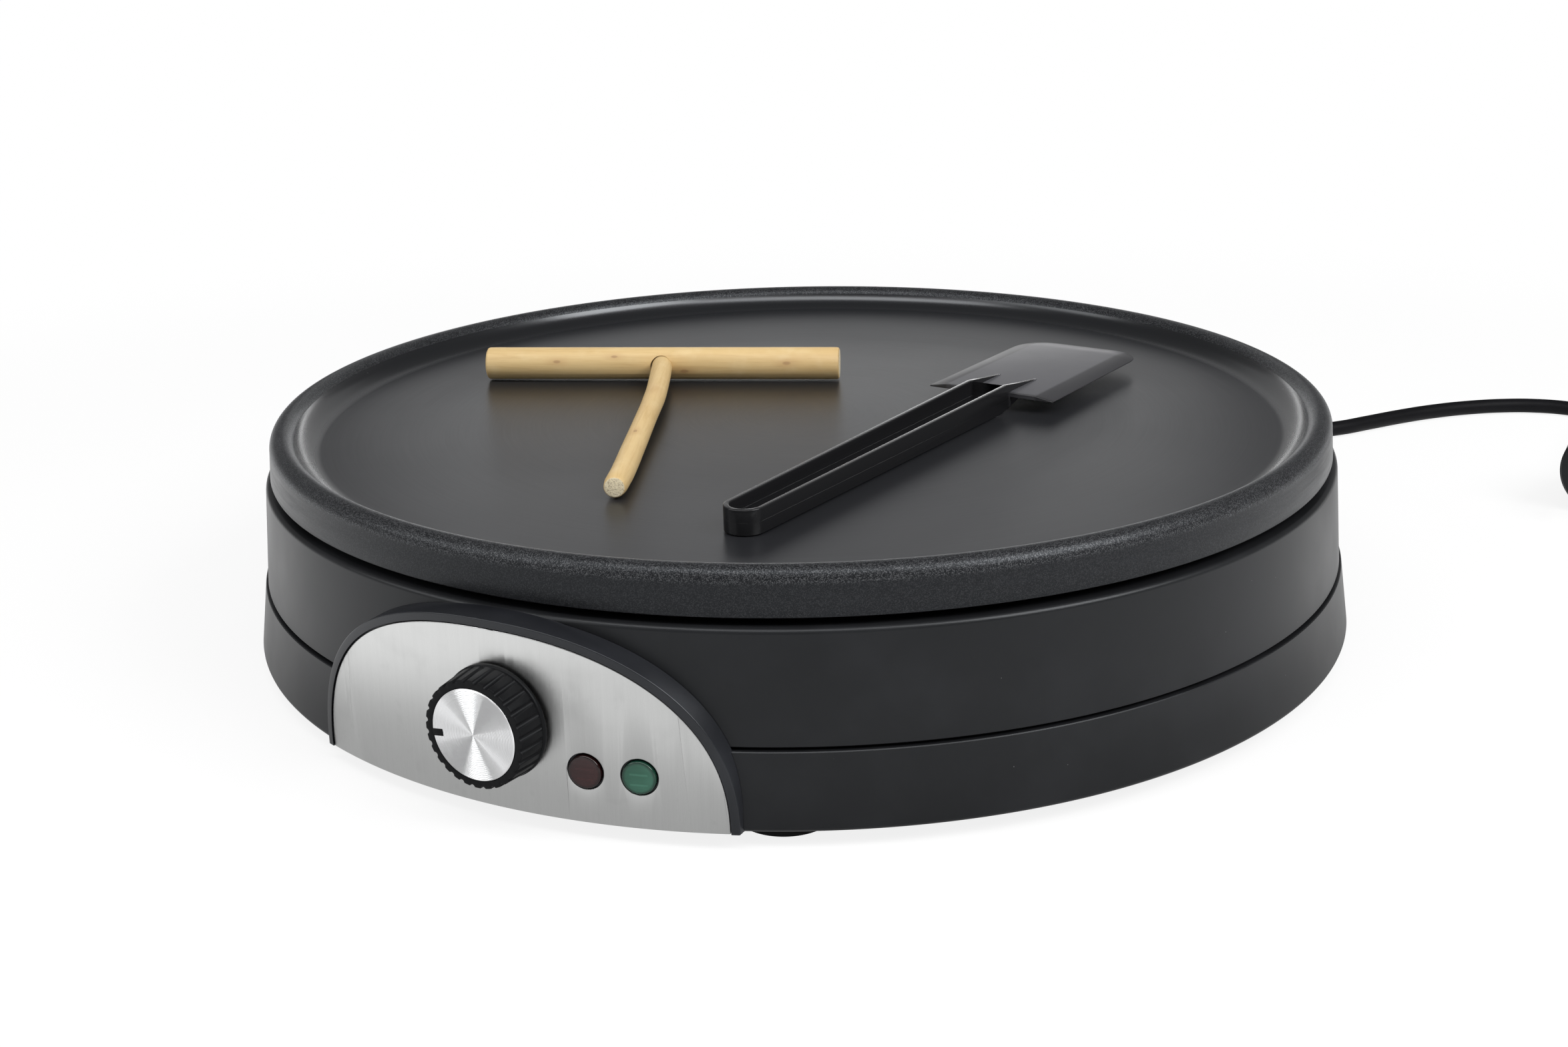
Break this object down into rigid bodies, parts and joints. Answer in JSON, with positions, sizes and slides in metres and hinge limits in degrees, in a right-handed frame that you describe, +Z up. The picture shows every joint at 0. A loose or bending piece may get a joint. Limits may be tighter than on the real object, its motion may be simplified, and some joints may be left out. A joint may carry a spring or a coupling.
{
  "type": "electric crepe maker",
  "caption": "Round electric crepe maker: dark rimmed plate on a black two-part housing, arched steel panel with knob and lamps, wooden spreader, spatula, coiled cord.",
  "frame": {"origin": "on the plate's axis, in the plane that the feet stand on", "axes": "+Z up, -Y out of the control panel, +Y towards the cord, +X to the right seen from the front"},
  "size_m": [0.551, 0.606, 0.0866],
  "materials": {
    "housing": "satin",
    "bezel": "satin",
    "panel": "vertical brushing",
    "plate": "satin non-stick coating",
    "foot": "matt",
    "grip": "satin",
    "cap": "spun",
    "red": "clear",
    "green": "clear",
    "lamp": "clear",
    "wood": "sanded",
    "nylon": "satin",
    "cord": "satin",
    "plug": "matt",
    "pin": "nickel plated",
    "screw": "zinc plated",
    "element": "heat tinted",
    "strap": "plain",
    "shield": "rolled",
    "ceramic": "matt",
    "brass": "plain",
    "copper": "plain",
    "thermostat": "matt",
    "fuse": "plain",
    "brown": "matt",
    "blue": "matt",
    "earth": "matt",
    "grey": "matt"
  },
  "bodies": {
    "base": {"lower_housing": "housing", "upper_housing": "housing", "housing_screws": "screw", "rubber_feet": "foot", "panel_bezel": "bezel", "bezel_screws": "screw", "control_panel": "panel", "cooking_plate": "plate", "plate_pillars": "ceramic", "plate_screws": "screw", "heating_element": "element", "element_clamps": "strap", "clamp_screws": "screw", "element_insulators": "ceramic", "element_terminals": "brass", "heat_shield": "shield", "sensor_bulb": "copper", "bulb_clip": "strap", "bulb_clip_screw": "screw", "capillary_tube": "copper", "thermal_fuse": "fuse", "fuse_clip": "strap", "fuse_clip_screw": "screw", "thermostat_body": "thermostat", "thermostat_nut": "brass", "thermostat_terminals": "brass", "red_lens": "red", "green_lens": "green", "red_lamp": "lamp", "green_lamp": "lamp", "lamp_sockets": "ceramic", "terminal_block": "ceramic", "terminal_block_screws": "screw", "live_lead": "brown", "neutral_lead": "blue", "earth_lead": "earth", "switched_lead": "brown", "return_lead": "brown", "lamp_leads": "grey", "earth_screw": "brass", "cord_clamp": "ceramic", "cord_clamp_screws": "screw", "strain_relief": "foot", "cord_entry": "cord", "power_cord": "cord", "cord_coil": "cord", "cord_tail": "cord", "cord_tie": "plug", "plug_body": "plug", "plug_pins": "pin", "plug_contacts": "pin"},
    "knob": {"thermostat_shaft": "brass", "knob_grip": "grip", "knob_cap": "cap", "knob_spring": "strap"},
    "spreader": {"spreader_bar": "wood", "spreader_handle": "wood"},
    "spatula": {"spatula": "nylon"}
  },
  "joints": [
    {"name": "knob_turn", "type": "hinge", "parent": "base", "child": "knob", "pos_m": [0.0028, -0.2, 0.034], "axis": [0, 1, 0], "range_deg": [0, 270]},
    {"name": "spreader_lift", "type": "slide", "parent": "base", "child": "spreader", "axis": [0, 0, 1], "range_m": [0, 0.1]},
    {"name": "spatula_lift", "type": "slide", "parent": "base", "child": "spatula", "axis": [0, 0, 1], "range_m": [0, 0.1]}
  ]
}
